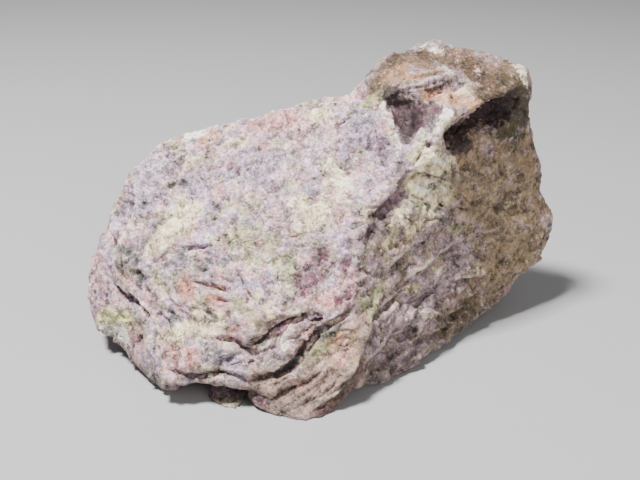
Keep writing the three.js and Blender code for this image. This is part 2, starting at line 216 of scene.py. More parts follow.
def on_stone(u, v):
    """The place on the solid that the camera sees at a pixel, or None past its outline."""
    sight = CAMERA_AXES @ Vector((u - PICTURE[0] / 2, PICTURE[1] / 2 - v, -FOCUS)).normalized()
    return surface.ray_cast(CAMERA_PLACE, sight)[0]


def trail(pixels, step=1.5):
    """Close places on the solid along a walk from pixel to pixel, a little unsteady."""
    places = []
    for k, (a, b) in enumerate(zip(pixels, pixels[1:])):
        a, b = Vector(a), Vector(b)
        parts = max(1, round((b - a).length / step))
        for part in range(parts + (k == len(pixels) - 2)):
            spot = a.lerp(b, part / parts)
            sway = noise.noise_vector((spot.x / SWAY_LENGTH, spot.y / SWAY_LENGTH, 0)) * SWAY
            place = on_stone(spot.x + sway.x, spot.y + sway.y)
            if place:
                places.append(place)
    return places


# ---------------------------------------------------------------- sums on many points

# How far the places move in a noise for each step of its salt.
SALT_STEP = 7.3


def drift(places, size, salt):
    """Smooth noise from about -1 to 1, in lumps of that size."""
    return np.array([noise.noise(p) for p in (places / size + SALT_STEP * salt).tolist()])


def facets(places, size, salt):
    """The height of flat chips of about that size, tilted every way, that meet in sharp edges."""
    heights = []
    for place in (places / size + SALT_STEP * salt).tolist():
        place = Vector(place)
        chips = noise.voronoi(place)[1][:3]
        heights.append(max((place - chip).dot(noise.cell_vector(chip)) for chip in chips))
    return (np.array(heights) - 0.25) * size


def shingles(places, size, fall, salt):
    """The height of chips that all rise one way and then drop to the next."""
    places = places / size + SALT_STEP * salt
    chips = np.array([list(noise.voronoi(place)[1][0]) for place in places.tolist()])
    return ((places - chips) @ np.array(fall)) * size


def smooth_rise(low, high, values):
    """0 below the low value, 1 above the high one, and smooth between."""
    t = np.clip((values - low) / (high - low), 0, 1)
    return t * t * (3 - 2 * t)


def facing(normals, direction):
    """1 where the ground faces that way, 0 where it faces well aside, and smooth between."""
    return smooth_rise(FACES_ASIDE, FACES_IT, normals @ np.array(direction))


def layered(places, across, spacing, size, salt):
    """Noise that is the same through each layer and jumps at its edge."""
    level = places @ np.array(across) / spacing
    layer = np.floor(level)
    jump = smooth_rise(0.72, 1.0, level - layer)
    flat = places - np.outer((level - layer - jump) * spacing, across)
    return drift(flat, size, salt)


def terraced(places, across, spacing, bend):
    """How far each place moves along a direction to stand on flat treads of that spacing."""
    level = (places @ np.array(across) + bend) / spacing
    tread = np.floor(level)
    risen = tread + smooth_rise(0.70, 1.0, level - tread)
    return (risen - level + 0.35) * spacing


# ---------------------------------------------------------------- the skin

def column(collection, key, width, kind=np.float64):
    """One property of every item of a mesh collection, as rows of an array."""
    values = np.empty(len(collection) * width, kind)
    collection.foreach_get(key, values)
    return values.reshape(-1, width)


def applied(thing):
    """Works a thing's modifiers into its mesh."""
    shown = thing.evaluated_get(bpy.context.evaluated_depsgraph_get())
    mesh = bpy.data.meshes.new_from_object(shown)
    thing.modifiers.clear()
    old = thing.data
    thing.data = mesh
    bpy.data.meshes.remove(old)


def blank_stone(node):
    """A copy of the node's solid on a fine even mesh."""
    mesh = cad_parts[node].data.copy()
    stone = bpy.data.objects.new("rhyolite_stone", mesh)
    bpy.context.scene.collection.objects.link(stone)
    mesh.materials.clear()
    work = bmesh.new()
    work.from_mesh(mesh)
    bmesh.ops.remove_doubles(work, verts=work.verts, dist=WELD)
    work.to_mesh(mesh)
    work.free()
    even = stone.modifiers.new("even", "REMESH")
    even.mode = "VOXEL"
    even.voxel_size = SKIN_STEP
    applied(stone)
    return stone


class Skin:
    """The stone's surface as arrays: its places, outward normals and edges."""

    def __init__(self, stone):
        self.mesh = stone.data
        self.places = column(self.mesh.vertices, "co", 3)
        self.edges = column(self.mesh.edges, "vertices", 2, np.int32)
        self.read_normals()
        ends = np.bincount(self.edges.ravel(), minlength=len(self.places))
        self.neighbours = np.maximum(ends, 1)

    def read_normals(self):
        self.normals = column(self.mesh.vertex_normals, "vector", 3)

    def write(self):
        self.mesh.vertices.foreach_set("co", self.places.ravel())
        self.mesh.update()
        self.read_normals()

    def plant(self):
        """Makes the search tree of the points as they now stand."""
        self.tree = kdtree.KDTree(len(self.places))
        for index, place in enumerate(self.places.tolist()):
            self.tree.insert(place, index)
        self.tree.balance()

    def eased(self, values, passes):
        """Rows of values at the points, averaged with their neighbours' that many times."""
        rows = values.copy()
        first, second = self.edges.T
        size = len(rows)
        for _ in range(passes):
            for k in range(rows.shape[1]):
                line = rows[:, k]
                near = np.bincount(first, line[second], size) + np.bincount(second, line[first], size)
                rows[:, k] = 0.5 * line + 0.5 * near / self.neighbours
        return rows

    def near(self, places, reach):
        """The points within reach of a trail, how far off they are, and the trail's place nearest to each."""
        found = {}
        for k, place in enumerate(places):
            for _, index, away in self.tree.find_range(place, reach):
                if away < found.get(index, (reach, 0))[0]:
                    found[index] = (away, k)
        index = np.array(list(found), dtype=int)
        away = np.array([found[i][0] for i in index])
        closest = np.array([found[i][1] for i in index], dtype=int)
        return index, away, closest


def unit(rows):
    return rows / np.maximum(np.linalg.norm(rows, axis=1, keepdims=True), 1e-12)


# ---------------------------------------------------------------- relief

# Where each kind of breakage comes in, from none at the first value to all of it at the second.
LUMPY_END = (-30 * MM, -44 * MM)
RUGGED_SLOPE = (46 * MM, 22 * MM)
RUGGED_FOOT = (26 * MM, 10 * MM)
SCARRED_END = (-16 * MM, -34 * MM)
SCARRED_FRONT = (34 * MM, 22 * MM)
SCARRED_SIDE = (2 * MM, 9 * MM)
SCARRED_SIDE_TOP = (46 * MM, 36 * MM)

# How far the edge of a ledge is rounded, on its high side and its low side, and how far its high side swells.
EDGE_ROUNDING = (-0.10 * MM, 0.30 * MM)
EDGE_SWELL = 0.25


def taper(closest, count, blunt):
    """1 along a trail, and less at both its ends."""
    along = closest / max(1, count - 1)
    return np.sin(np.pi * np.clip(blunt + (1 - 2 * blunt) * along, 0, 1)) ** 0.7


def gap_along(skin, pixels, width):
    """The points near a trail, and how far each lies in a narrow gap along it, from 0 to 1."""
    places = trail(pixels)
    index, away, closest = skin.near(places, 2.5 * width)
    return index, np.exp(-(away / (0.6 * width)) ** 2) * taper(closest, len(places), 0.10)


def beside(skin, pixels, reach):
    """The points near a trail, how far off and to its right they are, and how full the trail is there."""
    places = trail(pixels)
    rows = np.array([list(p) for p in places])
    index, away, closest = skin.near(places, reach)
    ahead = rows[np.minimum(closest + 2, len(rows) - 1)] - rows[np.maximum(closest - 2, 0)]
    right = unit(np.cross(ahead, skin.normals[index]))
    side = np.einsum("ij,ij->i", right, skin.places[index] - rows[closest])
    return index, away, side, taper(closest, len(rows), 0.06)


def cut_ledge(skin, push, pixels, drop, reach):
    """Lowers the ground on the right of a trail, most at the trail and less further off."""
    index, away, side, full = beside(skin, pixels, reach)
    low_side = smooth_rise(*EDGE_ROUNDING, side)
    push[index] += drop * smooth_rise(reach, 0, away) * full * (EDGE_SWELL * (1 - low_side) - low_side)


def bent_places(places):
    """The places, moved about a little, so that chips and layers don't run straight."""
    wide = np.stack([drift(places, 11 * MM, salt) for salt in (1, 2, 3)], 1)
    close = np.stack([drift(places, 3 * MM, salt) for salt in (4, 5, 6)], 1)
    return places + 1.3 * MM * wide + 0.35 * MM * close


def broken_layers(bent):
    """Layers and chips, for the faces that cut the banding."""
    layers = 0.38 * layered(bent, BAND_NORMAL, 2.9 * MM, 9 * MM, 8)
    layers += 0.26 * layered(bent, BAND_NORMAL, 1.3 * MM, 5 * MM, 9)
    return layers * MM + 0.07 * facets(bent, 3.5 * MM, 26)


def ruggedness(along, height):
    """How rugged the flank is. It is smooth high up and at the far end, and roughest at its foot."""
    slope = 0.25 + 0.75 * smooth_rise(*RUGGED_SLOPE, height + 0.35 * along)
    return slope + 0.45 * smooth_rise(*RUGGED_FOOT, height)


def slanting_shingles(bent):
    """Long chips that slant across the flank."""
    stretched = bent - 0.60 * np.outer(bent @ np.array(RIDGE_LINE), RIDGE_LINE)
    slanted = 0.14 * shingles(stretched, 4.2 * MM, SHINGLE_FALL, 10)
    slanted += 0.11 * shingles(stretched, 2.0 * MM, SHINGLE_FALL, 12)
    slanted += 0.17 * facets(stretched, 5.5 * MM, 11)
    slanted += 0.3 * MM * layered(bent, SLAB_NORMAL, 1.6 * MM, 5 * MM, 20)
    return slanted


def scarring(along, height):
    """How scarred the broad face is: not in its middle, but towards the thin end, the ridge and the front."""
    scarred = smooth_rise(*SCARRED_END, along) + smooth_rise(*SCARRED_FRONT, height)
    beside_ridge = smooth_rise(*SCARRED_SIDE, along) * smooth_rise(*SCARRED_SIDE_TOP, height)
    return np.clip(scarred + beside_ridge, 0, 1)


def thin_sheets(bent):
    """How far each place moves across the banding to lie on thin sheets that end in low steps."""
    roll = 1.2 * MM * drift(bent, 8 * MM, 17) + 0.25 * MM * drift(bent, 2.6 * MM, 18)
    return terraced(bent, BAND_NORMAL, 1.3 * MM, roll)


def cut_breaks(skin, push):
    """Cuts the ledges with the gaps under them, the cracks and the pits."""
    for pixels, drop, reach, under in LEDGES:
        cut_ledge(skin, push, pixels, drop, reach)
        index, gap = gap_along(skin, pixels, gap_width(under))
        push[index] -= under * gap
    for pixels, width, depth in CRACKS:
        index, gap = gap_along(skin, pixels, width)
        push[index] -= depth * gap
    for pixel, radius, depth in PITS:
        index, away, _ = skin.near([on_stone(*pixel)], radius)
        push[index] -= depth * (1 - (away / radius) ** 2)


def rough_stone(skin):
    """Breaks up the even skin: worn lumps, flake scars, slanting shingles, ledges, cracks and pits."""
    skin.places = skin.eased(skin.places, FIRST_EASING)
    skin.write()
    skin.plant()
    ground = unit(skin.eased(skin.normals, GROUND_EASING))
    on_band = facing(ground, BAND_NORMAL)
    on_flank = facing(ground, FLANK_NORMAL)

    places = skin.places
    bent = bent_places(places)
    along, height = places[:, 0], places[:, 2]
    scarred = scarring(along, height)

    # Worn lumps everywhere, and more of them at the thin end.
    push = 0.4 * MM * drift(places, 9 * MM, 7) + 0.12 * facets(bent, 8 * MM, 19)
    push += 0.5 * MM * drift(places, 6 * MM, 29) * smooth_rise(*LUMPY_END, along)
    # The faces that cut the banding, the flank, and the flake scars of the broad face.
    push += (1 - on_band) * (1 - on_flank) * broken_layers(bent)
    push += on_flank * ruggedness(along, height) * slanting_shingles(bent)
    flakes = 0.16 * facets(bent, 6 * MM, 13) + 0.09 * facets(bent, 2.6 * MM, 14)
    push += on_band * (0.15 + 0.85 * scarred) * flakes
    # Small chips and grain.
    push += (1 - 0.6 * on_band * (1 - scarred)) * 0.05 * facets(bent, 2.0 * MM, 27)
    push += 0.06 * MM * drift(places, 1.6 * MM, 15) + 0.08 * MM * drift(places, 0.9 * MM, 16)
    # The brow is jagged, and the toe is plainer than the ground around it.
    index, away, _ = skin.near(trail(BROW), BROW_REACH)
    push[index] += 0.32 * facets(bent[index], 3.2 * MM, 28) * smooth_rise(BROW_REACH, 1 * MM, away)
    index, away, _ = skin.near(trail(TOE, step=4), TOE_REACH)
    push[index] *= 1 - 0.65 * smooth_rise(TOE_REACH, 6 * MM, away)
    cut_breaks(skin, push)

    shift = np.outer(on_band * (0.15 + 0.35 * scarred) * thin_sheets(bent), BAND_NORMAL)
    out = unit(skin.eased(skin.normals, PUSH_EASING))
    skin.places = skin.places + out * push[:, None] + shift
    keep_in_box(skin)


def keep_in_box(skin):
    """Holds every point inside the box of the solid."""
    low, high = (np.array(c) for c in cad_box)
    skin.places = np.clip(skin.places, low, high)
    skin.write()


stone = blank_stone("stone")
rough_stone(Skin(stone))


# ---------------------------------------------------------------- finish

# How far the places move in a cloud for each step of its salt, in metres.
SALT_SHIFT = (0.137, 0.071, 0.213)

# The lightest that stone gets.
BRIGHTEST = (0.95, 0.94, 0.92)


class Flow:
    """A socket of a finish. Sums on flows add Math nodes."""

    def __init__(self, finish, socket):
        self.finish = finish
        self.socket = socket

    def maths(self, operation, *others):
        return self.finish.add("ShaderNodeMath", {"operation": operation}, dict(enumerate(others)))

    def __add__(self, other):
        return self.maths("ADD", self, other)

    __radd__ = __add__

    def __sub__(self, other):
        return self.maths("SUBTRACT", self, other)

    def __rsub__(self, other):
        return self.maths("SUBTRACT", other, self)

    def __mul__(self, other):
        return self.maths("MULTIPLY", self, other)

    __rmul__ = __mul__

    def rise(self, low, high):
        """0 below the low value, 1 above the high one, and smooth between."""
        settings = {"interpolation_type": "SMOOTHSTEP"}
        return self.finish.add("ShaderNodeMapRange", settings, {0: self, 1: low, 2: high, 3: 0.0, 4: 1.0})


class Finish:
    """A material that is worked out from places on the stone."""

    def __init__(self, name):
        self.material = bpy.data.materials.new(name)
        self.material.use_nodes = True
        self.tree = self.material.node_tree
        self.shader = self.tree.nodes["Principled BSDF"]
        self.place = self.add("ShaderNodeTexCoord", {}, {}, "Object")

    def add(self, kind, settings, inputs, output=0):
        """A new node, as a flow: its settings are made first, then the values or flows of its sockets."""
        node = self.tree.nodes.new(kind)
        for name, value in settings.items():
            setattr(node, name, value)
        for name, value in inputs.items():
            self.feed(node.inputs[name], value)
        return Flow(self, node.outputs[output])

    def feed(self, socket, value):
        if isinstance(value, Flow):
            self.tree.links.new(value.socket, socket)
        else:
            socket.default_value = value

    def moved(self, salt):
        """The places on the stone, moved as far as that salt says."""
        settings = {"operation": "ADD"}
        shift = tuple(part * salt for part in SALT_SHIFT)
        return self.add("ShaderNodeVectorMath", settings, {0: self.place, 1: shift})

    def cloud(self, size, salt, detail, roughness=0.55):
        """Soft noise, mostly from 0.3 to 0.7, in lumps of that size."""
        inputs = {"Vector": self.moved(salt), "Scale": 1 / size, "Detail": detail, "Roughness": roughness}
        return self.add("ShaderNodeTexNoise", {}, inputs, "Fac")

    def seams(self, size, salt):
        """How far each place is from the nearest seam between chips of that size. They are bent a little."""
        bend = self.add("ShaderNodeTexNoise", {}, {"Vector": self.moved(salt), "Scale": 0.4 / size}, "Color")
        bend = self.add("ShaderNodeVectorMath", {"operation": "SCALE"}, {0: bend, "Scale": 1.6 * size})
        bent = self.add("ShaderNodeVectorMath", {"operation": "ADD"}, {0: bend, 1: self.place})
        return self.add("ShaderNodeTexVoronoi", {"feature": "DISTANCE_TO_EDGE"},
                        {"Vector": bent, "Scale": 1 / size}, "Distance")

    def mask(self, name):
        """What is painted on the stone's points under that name."""
        return self.add("ShaderNodeAttribute", {"attribute_name": name}, {}, "Fac")

    def dimmed(self, colour, amount):
        """A colour made darker or lighter, but never lighter than the lightest stone."""
        scaled = self.add("ShaderNodeVectorMath", {"operation": "SCALE"}, {0: colour, "Scale": amount})
        return self.add("ShaderNodeVectorMath", {"operation": "MINIMUM"}, {0: scaled, 1: BRIGHTEST})

    def over(self, ground, colour, amount):
        """A colour laid over another by an amount from 0 to 1."""
        inputs = {0: amount, 6: ground, 7: colour}
        return self.add("ShaderNodeMix", {"data_type": "RGBA"}, inputs, 2)


DISPLAY_POWER = 2.2


def tone(red, green, blue):
    """A colour that is written from 0 to 255, as the shader takes it."""
    return tuple((c / 255) ** DISPLAY_POWER for c in (red, green, blue)) + (1.0,)


LILAC = tone(160, 140, 160)
PINK = tone(186, 140, 146)
ASH = tone(106, 102, 112)
CREAM = tone(218, 198, 156)
SAGE = tone(140, 138, 100)
MOSS = tone(190, 188, 126)
# Pale grains and patches, and also the painted highlight on crests and on the high edges of ledges.
WHITE = tone(250, 234, 212)
PLUM = tone(88, 48, 64)
WINE = tone(44, 22, 30)
DEEP_PLUM = tone(50, 28, 34)
SALMON = tone(180, 122, 108)
LICHEN_AND_SHADE = tone(66, 70, 66)
OLIVE = tone(56, 50, 28)
BROWN = tone(126, 104, 76)
TAN = tone(104, 78, 52)
UMBER = tone(78, 58, 38)
FAWN = tone(150, 122, 108)
PEACH = tone(184, 132, 96)
RUST = tone(196, 112, 74)
# Dark for the wisps in the stone, and for painted shade in hollows, in gaps and near the floor.
DARK_WISP_AND_SHADE = tone(28, 22, 20)
MAUVE = tone(143, 120, 126)

# The tone of each kind of patch. Later ones lie over earlier ones.
PATCH_TONES = {
    "lilac": LILAC, "pink": PINK, "tan": TAN, "umber": UMBER, "fawn": FAWN, "brown": BROWN, "mauve": MAUVE,
    "olive": OLIVE, "sage": SAGE, "moss": MOSS, "salmon": SALMON, "peach": PEACH, "cream": CREAM, "ash": ASH,
    "plum": PLUM, "wine": WINE, "deep": DEEP_PLUM, "lichen": LICHEN_AND_SHADE, "white": WHITE, "rust": RUST,
}

# How far each kind of patch quiets the grain on it.
QUIET_SHARES = {
    "deep": 1, "wine": 1, "olive": 0.9, "plum": 0.6, "lichen": 0.6, "tan": 0.95, "brown": 0.4, "peach": 0.5,
    "umber": 1, "salmon": 0.5,
}

# Colours that drift through the stone: the tone, how much of it, the size and salt of its cloud, how rough
# that is, and the range of the cloud in which the tone comes in.
DRIFTS = [
    (ASH, 0.55, 4 * MM, 3, 0.75, (0.50, 0.58)),
    (CREAM, 0.55, 5 * MM, 4, 0.75, (0.52, 0.58)),
    (SAGE, 0.55, 7 * MM, 5, 0.70, (0.52, 0.58)),
    (SALMON, 0.50, 4 * MM, 18, 0.75, (0.55, 0.61)),
    (PLUM, 0.45, 4 * MM, 13, 0.75, (0.55, 0.61)),
]
FLANK_DRIFTS = [
    (BROWN, 0.60, 4.5 * MM, 32, 0.70, (0.46, 0.56)),
    (SAGE, 0.55, 2.6 * MM, 19, 0.65, (0.53, 0.61)),
    (CREAM, 0.40, 2.2 * MM, 20, 0.65, (0.55, 0.63)),
    (PLUM, 0.50, 2.8 * MM, 26, 0.65, (0.54, 0.62)),
]

# Patches of colour: the mask, pixels through the patch, its radius, and its strength.
PATCHES = [
    # the tall end
    ("tan", [(378, 84), (400, 64), (440, 58), (480, 62), (512, 80)], 6.5 * MM, 0.9),
    ("tan", [(480, 95), (500, 85)], 3.5 * MM, 0.8),
    ("umber", [(394, 60), (408, 52), (424, 58)], 3.0 * MM, 0.9),
    ("umber", [(450, 58), (466, 66)], 2.6 * MM, 0.8),
    ("umber", [(474, 78), (492, 84), (480, 92)], 3.4 * MM, 0.9),
    ("umber", [(508, 78), (500, 88)], 2.4 * MM, 0.8),
    ("umber", [(372, 92), (380, 78)], 1.8 * MM, 0.7),
    ("peach", [(428, 98), (450, 96), (470, 104)], 3.0 * MM, 0.9),
    ("peach", [(396, 74), (416, 72)], 3.5 * MM, 0.6),
    ("mauve", [(398, 92), (425, 88), (446, 80)], 2.0 * MM, 0.8),
    ("mauve", [(478, 56), (494, 60)], 2.0 * MM, 0.7),
    # The pocket below the crease: partly the stone's dark plum, partly painted shade of the recessed facet.
    ("wine", [(392, 101), (400, 110), (406, 120)], 3.8 * MM, 1.4),
    ("wine", [(403, 128), (406, 139)], 2.2 * MM, 1.4),
    ("plum", [(418, 112), (430, 110), (420, 128)], 3.0 * MM, 1.2),
    ("ash", [(418, 109), (434, 113), (424, 122)], 3.0 * MM, 1.3),
    ("white", [(382, 104), (386, 118), (394, 132), (400, 147)], 1.0 * MM, 1.0),
    ("white", [(446, 113), (441, 124), (434, 136)], 1.3 * MM, 0.9),
    ("white", [(424, 134), (430, 142)], 1.0 * MM, 0.8),
    ("white", [(418, 44), (430, 46), (442, 52)], 1.3 * MM, 0.75),
    ("white", [(518, 68), (525, 75), (527, 84)], 1.4 * MM, 0.85),
    ("sage", [(362, 106), (384, 94)], 2.0 * MM, 0.8),
    # Under the brow: partly the stone's deep plum, partly painted shadow of the overhang.
    ("deep", [(450, 138), (458, 128), (468, 118), (480, 108), (492, 103), (504, 97)], 3.4 * MM, 1.3),
    ("deep", [(456, 146), (466, 144)], 2.4 * MM, 1.3),
    ("umber", [(468, 130), (484, 124), (500, 120)], 2.8 * MM, 0.8),
    ("deep", [(484, 118), (498, 110)], 3.2 * MM, 1.2),
    # Olive at the right end: partly the stone's olive colour, partly painted shade of the steep face there.
    ("olive", [(508, 94), (518, 88)], 1.8 * MM, 1.2),
    ("tan", [(500, 128), (514, 136), (506, 146)], 6.0 * MM, 0.6),
    ("olive", [(506, 96), (514, 108)], 4.6 * MM, 1.2),
    ("olive", [(520, 96), (522, 112), (514, 128)], 3.2 * MM, 1.1),
    ("olive", [(500, 116), (506, 130)], 3.6 * MM, 0.9),
    ("olive", [(484, 132), (500, 130), (518, 138)], 3.4 * MM, 0.6),
    ("olive", [(524, 92), (526, 120)], 3.0 * MM, 0.8),
    # the knob and the pale ground below it
    ("cream", [(422, 158), (436, 160), (448, 166)], 3.6 * MM, 1.0),
    ("white", [(436, 158), (446, 160)], 1.8 * MM, 0.7),
    ("cream", [(414, 184), (430, 186), (444, 196)], 3.6 * MM, 1.0),
    ("white", [(424, 182), (434, 184)], 1.8 * MM, 0.8),
    ("sage", [(414, 198), (418, 210), (422, 224)], 2.0 * MM, 0.7),
    ("white", [(420, 188), (432, 192)], 1.2 * MM, 0.6),
    ("white", [(412, 206), (408, 218)], 1.2 * MM, 0.6),
    ("cream", [(430, 206), (426, 220), (410, 232)], 2.6 * MM, 0.8),
    ("white", [(440, 176), (446, 200)], 1.2 * MM, 0.5),
    ("lichen", [(444, 203), (430, 214), (424, 198)], 1.0 * MM, 0.7),
    ("lichen", [(440, 222), (452, 212)], 1.2 * MM, 0.6),
    ("cream", [(404, 208), (396, 224), (388, 240)], 2.6 * MM, 0.6),
    # the flank
    # The strip down the scarp beside the ridge: partly plum colour, partly painted shade of the scarp, which
    # faces away from the key light.
    ("mauve", [(404, 178), (399, 190), (390, 204), (380, 217), (370, 231), (361, 244)], 2.4 * MM, 1.5),
    ("plum", [(403, 176), (396, 189), (387, 203), (377, 217), (367, 231), (358, 246)], 1.8 * MM, 0.45),
    ("umber", [(403, 176), (396, 189), (387, 203), (377, 217), (367, 231), (358, 246)], 1.8 * MM, 0.7),
    ("brown", [(470, 160), (490, 200), (520, 240), (500, 270)], 12.0 * MM, 0.9),
    ("brown", [(520, 150), (532, 200)], 8.0 * MM, 0.9),
    ("brown", [(470, 296), (450, 318)], 6.0 * MM, 0.7),
    ("mauve", [(380, 340), (410, 320), (430, 300)], 8.0 * MM, 0.7),
    ("mauve", [(450, 245), (460, 265), (440, 285)], 5.0 * MM, 0.8),
    ("mauve", [(390, 372), (420, 352)], 4.0 * MM, 0.7),
    ("sage", [(362, 304), (376, 294), (372, 310)], 2.6 * MM, 0.8),
    ("sage", [(452, 230), (460, 228)], 2.0 * MM, 0.8),
    ("cream", [(456, 228)], 1.6 * MM, 1.0),
    ("cream", [(506, 205), (514, 202)], 0.9 * MM, 1.0),
    ("cream", [(530, 240), (542, 235)], 0.9 * MM, 1.0),
    ("cream", [(384, 250), (390, 244)], 2.0 * MM, 0.8),
    ("cream", [(424, 314), (436, 315)], 1.2 * MM, 1.0),
    ("cream", [(436, 268), (442, 272)], 1.2 * MM, 0.9),
    ("cream", [(408, 290), (414, 288)], 1.4 * MM, 0.8),
    ("cream", [(476, 268), (482, 272)], 1.2 * MM, 0.9),
    ("rust", [(402, 246), (409, 236)], 0.8 * MM, 0.8),
    ("rust", [(385, 280)], 0.8 * MM, 0.7),
    # the toe and the sheets above it
    ("fawn", [(262, 384), (290, 388), (320, 378), (345, 360)], 5.5 * MM, 1.2),
    ("fawn", [(330, 345), (352, 330), (366, 322)], 4.0 * MM, 1.2),
    ("fawn", [(270, 404), (300, 404), (320, 396)], 3.0 * MM, 1.0),
    # Painted shadow under the lip of the sheet above, in the lichen tone.
    ("lichen", [(322, 338), (332, 330), (343, 321)], 1.5 * MM, 0.8),
    ("brown", [(304, 362), (314, 350), (326, 344), (338, 338)], 2.6 * MM, 0.9),
    ("sage", [(312, 352), (326, 344), (338, 338)], 1.8 * MM, 0.5),
    ("salmon", [(340, 340), (346, 352), (336, 366)], 2.2 * MM, 0.5),
    ("salmon", [(300, 384), (322, 376)], 2.0 * MM, 0.5),
    ("brown", [(356, 340), (368, 330), (362, 356)], 3.0 * MM, 0.8),
    ("white", [(296, 377), (301, 368)], 0.8 * MM, 0.6),
    ("brown", [(318, 415), (335, 408), (350, 390), (362, 368)], 2.4 * MM, 0.8),
    ("plum", [(318, 415), (335, 408), (350, 390), (362, 368)], 2.2 * MM, 0.6),
    ("plum", [(254, 398), (266, 404)], 1.8 * MM, 0.7),
    ("mauve", [(300, 326), (312, 320), (322, 318)], 2.2 * MM, 1.0),
    ("plum", [(268, 338), (284, 328)], 1.5 * MM, 0.7),
    ("white", [(262, 346), (272, 342), (284, 344)], 1.3 * MM, 0.8),
    ("mauve", [(262, 358), (280, 356), (296, 346)], 2.6 * MM, 0.7),
    ("salmon", [(322, 322), (312, 332), (303, 343), (294, 356)], 1.1 * MM, 0.9),
    ("mauve", [(180, 395), (220, 395), (244, 392)], 6.0 * MM, 0.8),
    ("sage", [(220, 401), (236, 404)], 1.8 * MM, 0.8),
    ("white", [(224, 405), (232, 407)], 1.0 * MM, 0.7),
    # the broad face
    ("lilac", [(366, 130), (378, 152)], 4.6 * MM, 1.0),
    ("lilac", [(290, 180), (320, 150), (345, 170)], 9.0 * MM, 0.45),
    ("plum", [(372, 132), (380, 152)], 3.2 * MM, 0.5),
    ("plum", [(302, 284), (312, 272), (322, 258)], 3.4 * MM, 0.8),
    ("plum", [(276, 316)], 1.4 * MM, 0.9),
    ("plum", [(345, 262), (352, 275), (340, 300)], 2.0 * MM, 0.6),
    ("plum", [(272, 184), (276, 190)], 1.4 * MM, 0.7),
    ("pink", [(306, 298), (326, 302), (344, 292)], 3.6 * MM, 0.9),
    ("salmon", [(312, 296), (330, 304)], 2.4 * MM, 0.6),
    ("pink", [(252, 130), (270, 120), (288, 116)], 3.6 * MM, 1.1),
    ("salmon", [(256, 128), (272, 120), (286, 117)], 2.6 * MM, 0.7),
    ("plum", [(254, 129), (270, 121), (284, 117)], 2.6 * MM, 0.4),
    ("salmon", [(186, 276), (190, 292)], 3.0 * MM, 0.8),
    ("salmon", [(214, 300), (222, 314)], 2.8 * MM, 0.7),
    ("salmon", [(174, 350), (194, 360)], 3.2 * MM, 0.6),
    ("salmon", [(208, 328), (232, 332)], 2.6 * MM, 0.6),
    ("salmon", [(302, 172), (308, 176)], 2.0 * MM, 0.6),
    ("peach", [(204, 138), (214, 134)], 2.0 * MM, 0.7),
    ("white", [(190, 136), (202, 132)], 1.6 * MM, 1.0),
    ("cream", [(232, 144), (246, 142)], 2.4 * MM, 0.6),
    ("cream", [(316, 118), (324, 114)], 2.4 * MM, 0.9),
    ("cream", [(300, 206), (304, 220), (322, 216)], 3.4 * MM, 0.8),
    ("cream", [(330, 170), (340, 190)], 4.0 * MM, 0.6),
    ("sage", [(238, 238), (262, 252), (284, 268)], 5.0 * MM, 0.7),
    ("sage", [(170, 186), (184, 196)], 2.6 * MM, 0.5),
    ("cream", [(168, 230), (180, 224), (188, 210)], 3.4 * MM, 1.0),
    ("cream", [(150, 254), (162, 248), (170, 240)], 1.8 * MM, 0.8),
    ("cream", [(178, 336), (186, 328)], 2.6 * MM, 0.9),
    ("cream", [(196, 316), (206, 330), (222, 322)], 2.8 * MM, 0.8),
    ("cream", [(256, 300), (268, 310)], 2.2 * MM, 0.7),
    ("moss", [(152, 246), (160, 238)], 1.6 * MM, 0.7),
    ("moss", [(172, 226), (184, 214)], 1.8 * MM, 0.8),
    ("moss", [(176, 332), (186, 326)], 1.6 * MM, 0.7),
    ("sage", [(150, 268), (160, 284)], 2.0 * MM, 0.7),
    ("sage", [(196, 300), (210, 296)], 2.0 * MM, 0.7),
    ("sage", [(236, 304), (252, 316)], 2.6 * MM, 0.7),
    ("sage", [(262, 232), (276, 244)], 4.0 * MM, 0.6),
    ("brown", [(206, 302), (218, 296)], 1.5 * MM, 0.6),
    ("lichen", [(132, 256), (136, 266), (142, 278)], 1.9 * MM, 1.0),
    ("lichen", [(118, 262), (122, 272)], 1.2 * MM, 0.8),
    ("lichen", [(148, 290), (154, 300)], 1.4 * MM, 0.7),
    ("lichen", [(170, 312), (178, 318)], 1.3 * MM, 0.7),
    ("lichen", [(156, 224), (164, 220)], 1.4 * MM, 0.9),
    ("lichen", [(172, 184), (186, 182)], 1.3 * MM, 0.9),
    ("lichen", [(132, 206), (134, 214)], 1.1 * MM, 0.7),
    ("lichen", [(98, 271)], 0.9 * MM, 0.8),
    ("lichen", [(118, 246), (126, 252), (124, 262)], 1.5 * MM, 1.0),
    ("lichen", [(144, 284), (152, 290), (158, 300)], 1.5 * MM, 0.9),
    ("lichen", [(164, 306), (172, 322)], 1.3 * MM, 0.9),
    ("lichen", [(142, 244), (150, 236)], 1.2 * MM, 0.7),
    ("lichen", [(206, 306), (214, 318)], 1.2 * MM, 0.6),
    ("lichen", [(188, 312), (198, 304)], 1.1 * MM, 0.6),
    ("ash", [(168, 258), (190, 262), (206, 272)], 2.6 * MM, 0.7),
    ("ash", [(226, 262), (236, 284)], 2.4 * MM, 0.6),
    ("ash", [(204, 346), (220, 352)], 1.8 * MM, 0.6),
    ("lichen", [(260, 362), (288, 356)], 1.4 * MM, 0.6),
    ("rust", [(229, 228)], 0.8 * MM, 0.8),
    ("rust", [(224, 198)], 0.7 * MM, 0.7),
    # the thin end
    ("lilac", [(150, 160), (150, 185), (135, 200)], 5.0 * MM, 0.8),
    ("pink", [(96, 262), (96, 300), (112, 302)], 5.0 * MM, 0.6),
    ("lilac", [(148, 325), (150, 350)], 3.4 * MM, 0.7),
    ("moss", [(104, 318), (114, 314), (126, 320)], 2.6 * MM, 1.2),
    ("white", [(104, 329), (114, 332), (124, 332)], 2.0 * MM, 1.2),
]

